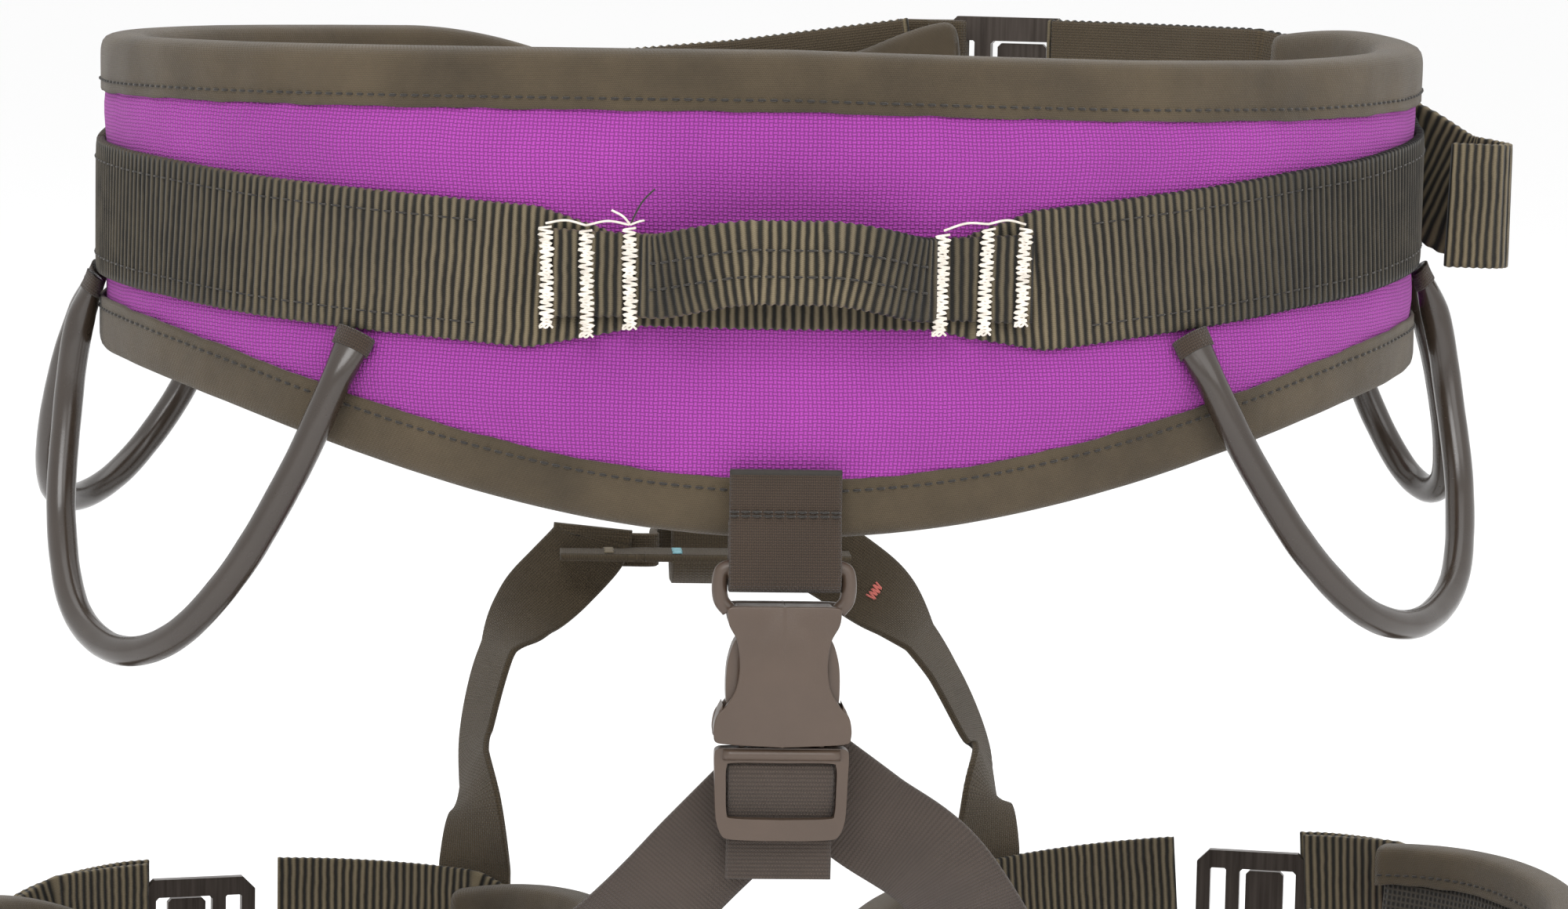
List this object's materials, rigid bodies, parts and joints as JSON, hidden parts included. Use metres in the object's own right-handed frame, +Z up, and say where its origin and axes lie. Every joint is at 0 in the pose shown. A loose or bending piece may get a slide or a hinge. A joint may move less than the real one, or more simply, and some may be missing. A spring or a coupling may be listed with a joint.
{
  "type": "climbing harness",
  "caption": "Sit-type climbing harness: padded waist belt with rigid gear loops and a haul loop, belay loop, rear side-release buckle on elastic risers, and adjustable padded leg loops.",
  "frame": {"origin": "centre of the waist opening, level with the top edge of the waist belt", "axes": "+X to the wearer's right, +Y the way the wearer faces, +Z up"},
  "size_m": [0.418, 0.2587, 0.3139],
  "materials": {
    "foam": "closed-cell foam, matte",
    "purple_weave": "coarse plain weave, purple",
    "lining": "dark mesh",
    "binding": "smooth woven edge tape, olive brown",
    "webbing": "ribbed structural webbing, olive brown",
    "elastic": "elastic tape, dark brown grey",
    "buckle_plastic": "satin",
    "gear_tube": "soft gloss",
    "gear_cord": "woven cord",
    "buckle_metal": "satin"
  },
  "bodies": {
    "waist": {"waist_pad": "foam", "waist_shell": "purple_weave", "waist_lining": "lining", "waist_binding_top": "binding", "waist_binding_bottom": "binding", "waist_webbing": "webbing", "waist_strap_tail": "webbing", "tail_keeper": "elastic", "waist_buckle_frame": "buckle_metal", "waist_buckle_anchor": "webbing", "front_tab": "binding", "upper_tie_in": "webbing", "haul_loop": "webbing", "rear_tab": "webbing", "rear_socket": "buckle_plastic"},
    "waist_slider": {"waist_buckle_slider": "buckle_metal"},
    "gear_rear_left": {"gear_sheath_rear_left": "gear_tube", "gear_cord_rear_left": "gear_cord"},
    "gear_rear_right": {"gear_sheath_rear_right": "gear_tube", "gear_cord_rear_right": "gear_cord"},
    "gear_front_left": {"gear_sheath_front_left": "gear_tube", "gear_cord_front_left": "gear_cord"},
    "gear_front_right": {"gear_sheath_front_right": "gear_tube", "gear_cord_front_right": "gear_cord"},
    "belay_loop": {"belay_loop": "webbing"},
    "leg_bridge": {"leg_bridge": "webbing", "lower_tie_in": "webbing", "leg_front_strap_left": "webbing", "leg_front_strap_right": "webbing", "riser_left": "elastic", "riser_right": "elastic"},
    "rear_plug": {"rear_plug": "buckle_plastic", "riser_tab": "webbing"},
    "rear_prong_left": {"rear_prong_left": "buckle_plastic"},
    "rear_prong_right": {"rear_prong_right": "buckle_plastic"},
    "leg_left": {"leg_pad_left": "foam", "leg_shell_left": "purple_weave", "leg_lining_left": "lining", "leg_binding_top_left": "binding", "leg_binding_bottom_left": "binding", "leg_webbing_left": "webbing", "leg_strap_tail_left": "webbing", "leg_buckle_left_frame": "buckle_metal", "riser_anchor_left": "webbing"},
    "leg_right": {"leg_pad_right": "foam", "leg_shell_right": "purple_weave", "leg_lining_right": "lining", "leg_binding_top_right": "binding", "leg_binding_bottom_right": "binding", "leg_webbing_right": "webbing", "leg_strap_tail_right": "webbing", "leg_buckle_right_frame": "buckle_metal", "riser_anchor_right": "webbing"},
    "leg_slider_left": {"leg_buckle_left_slider": "buckle_metal"},
    "leg_slider_right": {"leg_buckle_right_slider": "buckle_metal"}
  },
  "joints": [
    {"name": "waist_slider_tilt", "type": "hinge", "parent": "waist", "child": "waist_slider", "pos_m": [0.06884, 0.10237, -0.014], "axis": [0, 0, 1], "range_deg": [0, 24], "stiffness_Nm_per_rad": 0.01},
    {"name": "gear_rear_left_swing", "type": "hinge", "parent": "waist", "child": "gear_rear_left", "pos_m": [-0.12941, -0.0511, -0.06375], "axis": [-0.6262, 0.7779, 0.0525], "range_deg": [0, 40], "stiffness_Nm_per_rad": 0.03},
    {"name": "gear_rear_right_swing", "type": "hinge", "parent": "waist", "child": "gear_rear_right", "pos_m": [0.12782, -0.05092, -0.05975], "axis": [-0.6282, -0.7732, -0.0861], "range_deg": [0, 40], "stiffness_Nm_per_rad": 0.03},
    {"name": "gear_front_left_swing", "type": "hinge", "parent": "waist", "child": "gear_front_left", "pos_m": [-0.14565, 0.0391, -0.05675], "axis": [0.4755, 0.8715, 0.1201], "range_deg": [0, 40], "stiffness_Nm_per_rad": 0.03},
    {"name": "gear_front_right_swing", "type": "hinge", "parent": "waist", "child": "gear_front_right", "pos_m": [0.1539, 0.03085, -0.054], "axis": [0.3765, -0.9264, 0], "range_deg": [0, 36], "stiffness_Nm_per_rad": 0.03},
    {"name": "belay_loop_twist", "type": "hinge", "parent": "waist", "child": "belay_loop", "pos_m": [-0.008, 0.124, -0.0945], "axis": [0, 0, 1], "range_deg": [-18, 18]},
    {"name": "leg_bridge_drop", "type": "hinge", "parent": "waist", "child": "leg_bridge", "pos_m": [-0.008, 0.124, -0.141], "axis": [1, 0, 0], "range_deg": [0, 7]},
    {"name": "rear_plug_slide", "type": "slide", "parent": "waist", "child": "rear_plug", "axis": [0, 0, -1], "range_m": [0, 0.0266]},
    {"name": "rear_prong_left_squeeze", "type": "hinge", "parent": "rear_plug", "child": "rear_prong_left", "pos_m": [-0.0084, -0.1132, -0.1565], "axis": [0, 1, 0], "range_deg": [0, 4], "stiffness_Nm_per_rad": 0.05},
    {"name": "rear_prong_right_squeeze", "type": "hinge", "parent": "rear_plug", "child": "rear_prong_right", "pos_m": [0.0084, -0.1132, -0.1565], "axis": [0, -1, 0], "range_deg": [0, 4], "stiffness_Nm_per_rad": 0.05},
    {"name": "leg_left_swing", "type": "hinge", "parent": "leg_bridge", "child": "leg_left", "pos_m": [-0.06727, 0.08525, -0.24134], "axis": [1, 0, 0], "range_deg": [0, 3.5], "stiffness_Nm_per_rad": 2, "springref_deg": -8.59, "deforming": ["riser_left"]},
    {"name": "leg_right_swing", "type": "hinge", "parent": "leg_bridge", "child": "leg_right", "pos_m": [0.06727, 0.08525, -0.23781], "axis": [1, 0, 0], "range_deg": [0, 3.5], "stiffness_Nm_per_rad": 2, "springref_deg": -8.59, "deforming": ["riser_right"]},
    {"name": "leg_slider_left_tilt", "type": "hinge", "parent": "leg_left", "child": "leg_slider_left", "pos_m": [-0.14002, 0.09551, -0.23194], "axis": [0, 0, -1], "range_deg": [0, 24], "stiffness_Nm_per_rad": 0.006},
    {"name": "leg_slider_right_tilt", "type": "hinge", "parent": "leg_right", "child": "leg_slider_right", "pos_m": [0.14002, 0.09551, -0.22312], "axis": [0, 0, 1], "range_deg": [0, 24], "stiffness_Nm_per_rad": 0.006}
  ],
  "couplings": [
    {"joint": "rear_plug_slide", "follows": "leg_bridge_drop", "m_per_rad": 0.2161},
    {"joint": "rear_prong_right_squeeze", "follows": "rear_prong_left_squeeze", "ratio": 1}
  ]
}
